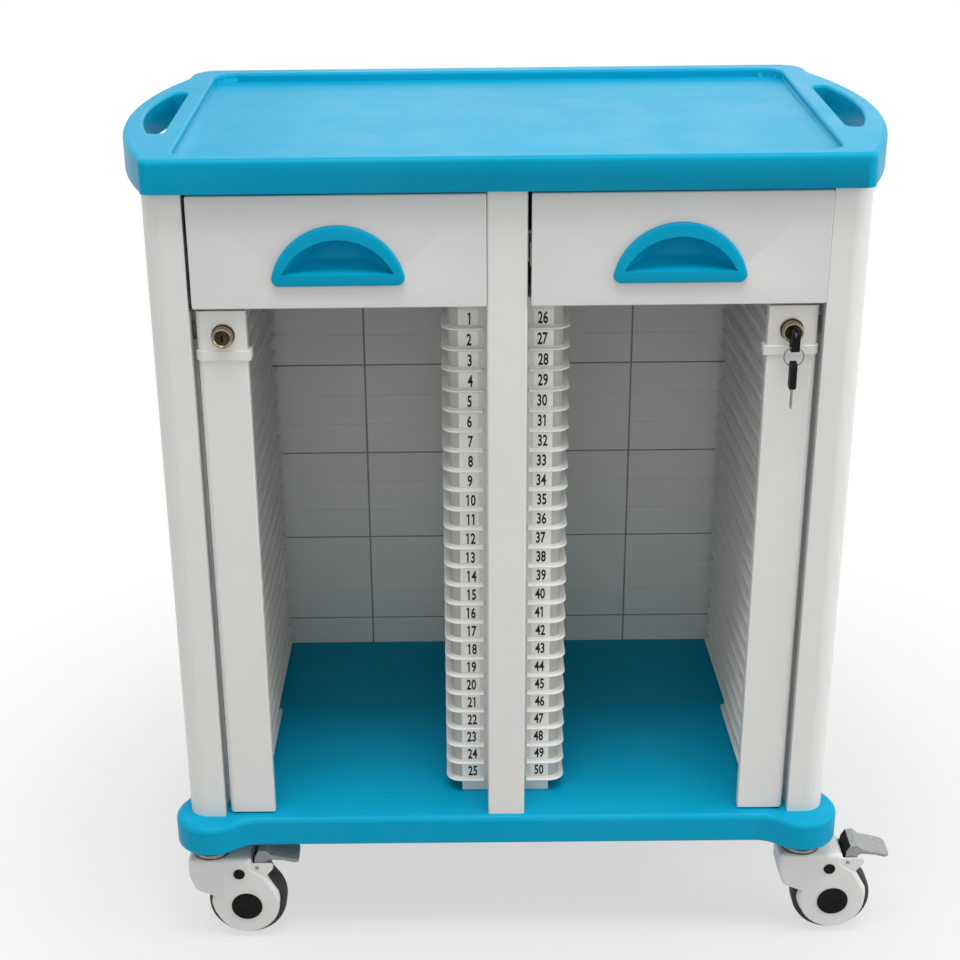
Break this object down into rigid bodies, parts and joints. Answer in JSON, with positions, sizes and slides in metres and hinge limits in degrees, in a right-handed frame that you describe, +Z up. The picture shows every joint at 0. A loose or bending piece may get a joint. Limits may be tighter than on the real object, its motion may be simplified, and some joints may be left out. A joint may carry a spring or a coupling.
{
  "type": "medical chart rack",
  "caption": "Wheeled chart trolley with slotted bays for patient chart binders, drawers under a handled top tray, swing-out lock bars and braked swivel casters.",
  "frame": {"origin": "on the floor under the middle of the whole, with the casters as they stand; the cabinet's own middle plane is 24.75 mm to the left of it", "axes": "+Z up, +X to the right as seen from the open front, +Y towards the back"},
  "size_m": [0.9295, 0.5138, 1.03],
  "materials": {
    "blue_plastic": "gloss moulding",
    "white_plastic": "satin moulding",
    "white_frame": "white powder coat on aluminium",
    "label_print": "printed sticker",
    "slide_steel": "zinc plated",
    "lock_brass": "dull plated brass",
    "key_steel": "nickel plated",
    "black_plastic": "satin moulding",
    "caster_white": "satin moulding",
    "tyre_black": "soft tread",
    "pedal_grey": "fine grained moulding"
  },
  "bodies": {
    "cabinet": {"top_tray": "blue_plastic", "base_tray": "blue_plastic", "centre_post": "white_frame", "side_panel_left": "white_plastic", "side_panel_right": "white_plastic", "back_panel": "white_plastic", "centre_divider": "white_plastic", "drawer_decks": "white_plastic", "rail_wall_left_outer": "white_plastic", "rail_wall_left_inner": "white_plastic", "rail_wall_right_inner": "white_plastic", "rail_wall_right_outer": "white_plastic", "slot_ledges_left": "white_plastic", "slot_ledges_right": "white_plastic", "number_labels": "label_print", "drawer_slides": "slide_steel", "bar_pivots": "slide_steel", "lock_keepers": "slide_steel", "back_screws": "slide_steel", "caster_stems": "slide_steel", "post_front_left": "white_frame", "post_back_left": "white_frame", "post_front_right": "white_frame", "post_back_right": "white_frame"},
    "drawer_left": {"drawer_box_left": "white_plastic", "drawer_front_left": "white_plastic", "drawer_handle_left": "blue_plastic", "drawer_runners_left": "slide_steel"},
    "bar_left": {"lock_bar_left": "white_frame", "lock_head_left": "white_plastic", "lock_cylinder_left": "lock_brass"},
    "plug_left": {"lock_plug_left": "lock_brass"},
    "drawer_right": {"drawer_box_right": "white_plastic", "drawer_front_right": "white_plastic", "drawer_handle_right": "blue_plastic", "drawer_runners_right": "slide_steel"},
    "bar_right": {"lock_bar_right": "white_frame", "lock_head_right": "white_plastic", "lock_cylinder_right": "lock_brass"},
    "plug_right": {"lock_plug_right": "lock_brass", "key_blade": "key_steel"},
    "key_grip": {"key_head": "black_plastic"},
    "ring": {"key_ring": "key_steel"},
    "spare": {"spare_key": "black_plastic"},
    "caster_front_left": {"caster_cover_front_left": "caster_white", "caster_axle_front_left": "black_plastic"},
    "wheel_front_left": {"caster_wheel_front_left": "tyre_black"},
    "pedal_front_left": {"brake_pedal_front_left": "pedal_grey"},
    "caster_back_left": {"caster_cover_back_left": "caster_white", "caster_axle_back_left": "black_plastic"},
    "wheel_back_left": {"caster_wheel_back_left": "tyre_black"},
    "pedal_back_left": {"brake_pedal_back_left": "pedal_grey"},
    "caster_front_right": {"caster_cover_front_right": "caster_white", "caster_axle_front_right": "black_plastic"},
    "wheel_front_right": {"caster_wheel_front_right": "tyre_black"},
    "pedal_front_right": {"brake_pedal_front_right": "pedal_grey"},
    "caster_back_right": {"caster_cover_back_right": "caster_white", "caster_axle_back_right": "black_plastic"},
    "wheel_back_right": {"caster_wheel_back_right": "tyre_black"},
    "pedal_back_right": {"brake_pedal_back_right": "pedal_grey"}
  },
  "joints": [
    {"name": "drawer_slide_left", "type": "slide", "parent": "cabinet", "child": "drawer_left", "axis": [0, -1, 0], "range_m": [0, 0.3]},
    {"name": "bar_swing_left", "type": "hinge", "parent": "cabinet", "child": "bar_left", "pos_m": [-0.36605, -0.214, 0.5], "axis": [0, 0, -1], "range_deg": [0, 80]},
    {"name": "lock_turn_left", "type": "hinge", "parent": "bar_left", "child": "plug_left", "pos_m": [-0.34275, -0.221, 0.826], "axis": [0, -1, 0], "range_deg": [0, 90]},
    {"name": "drawer_slide_right", "type": "slide", "parent": "cabinet", "child": "drawer_right", "axis": [0, -1, 0], "range_m": [0, 0.3]},
    {"name": "bar_swing_right", "type": "hinge", "parent": "cabinet", "child": "bar_right", "pos_m": [0.31655, -0.214, 0.5], "axis": [0, 0, 1], "range_deg": [0, 80]},
    {"name": "lock_turn_right", "type": "hinge", "parent": "bar_right", "child": "plug_right", "pos_m": [0.29325, -0.221, 0.826], "axis": [0, 1, 0], "range_deg": [0, 90]},
    {"name": "key_fold", "type": "hinge", "parent": "plug_right", "child": "key_grip", "pos_m": [0.29325, -0.246, 0.826], "axis": [-1, 0, 0], "range_deg": [0, 45]},
    {"name": "ring_swing", "type": "hinge", "parent": "key_grip", "child": "ring", "pos_m": [0.29325, -0.246, 0.8135], "axis": [-1, 0, 0], "range_deg": [0, 45]},
    {"name": "spare_swing", "type": "hinge", "parent": "ring", "child": "spare", "pos_m": [0.29325, -0.246, 0.7915], "axis": [-1, 0, 0], "range_deg": [0, 35]},
    {"name": "caster_swivel_front_left", "type": "hinge", "parent": "cabinet", "child": "caster_front_left", "pos_m": [-0.40225, -0.207, 0.11], "axis": [0, 0, 1], "continuous": true},
    {"name": "wheel_spin_front_left", "type": "hinge", "parent": "caster_front_left", "child": "wheel_front_left", "pos_m": [-0.35925, -0.207, 0.05], "axis": [0, 1, 0], "continuous": true},
    {"name": "brake_press_front_left", "type": "hinge", "parent": "caster_front_left", "child": "pedal_front_left", "pos_m": [-0.34325, -0.207, 0.109], "axis": [0, 1, 0], "range_deg": [0, 12]},
    {"name": "caster_swivel_back_left", "type": "hinge", "parent": "cabinet", "child": "caster_back_left", "pos_m": [-0.40225, 0.207, 0.11], "axis": [0, 0, 1], "continuous": true},
    {"name": "wheel_spin_back_left", "type": "hinge", "parent": "caster_back_left", "child": "wheel_back_left", "pos_m": [-0.35925, 0.207, 0.05], "axis": [0, 1, 0], "continuous": true},
    {"name": "brake_press_back_left", "type": "hinge", "parent": "caster_back_left", "child": "pedal_back_left", "pos_m": [-0.34325, 0.207, 0.109], "axis": [0, 1, 0], "range_deg": [0, 12]},
    {"name": "caster_swivel_front_right", "type": "hinge", "parent": "cabinet", "child": "caster_front_right", "pos_m": [0.35275, -0.207, 0.11], "axis": [0, 0, 1], "continuous": true},
    {"name": "wheel_spin_front_right", "type": "hinge", "parent": "caster_front_right", "child": "wheel_front_right", "pos_m": [0.39575, -0.207, 0.05], "axis": [0, 1, 0], "continuous": true},
    {"name": "brake_press_front_right", "type": "hinge", "parent": "caster_front_right", "child": "pedal_front_right", "pos_m": [0.41175, -0.207, 0.109], "axis": [0, 1, 0], "range_deg": [0, 12]},
    {"name": "caster_swivel_back_right", "type": "hinge", "parent": "cabinet", "child": "caster_back_right", "pos_m": [0.35275, 0.207, 0.11], "axis": [0, 0, 1], "continuous": true},
    {"name": "wheel_spin_back_right", "type": "hinge", "parent": "caster_back_right", "child": "wheel_back_right", "pos_m": [0.30975, 0.207, 0.05], "axis": [0, 1, 0], "continuous": true},
    {"name": "brake_press_back_right", "type": "hinge", "parent": "caster_back_right", "child": "pedal_back_right", "pos_m": [0.29375, 0.207, 0.109], "axis": [0, -1, 0], "range_deg": [0, 12]}
  ]
}
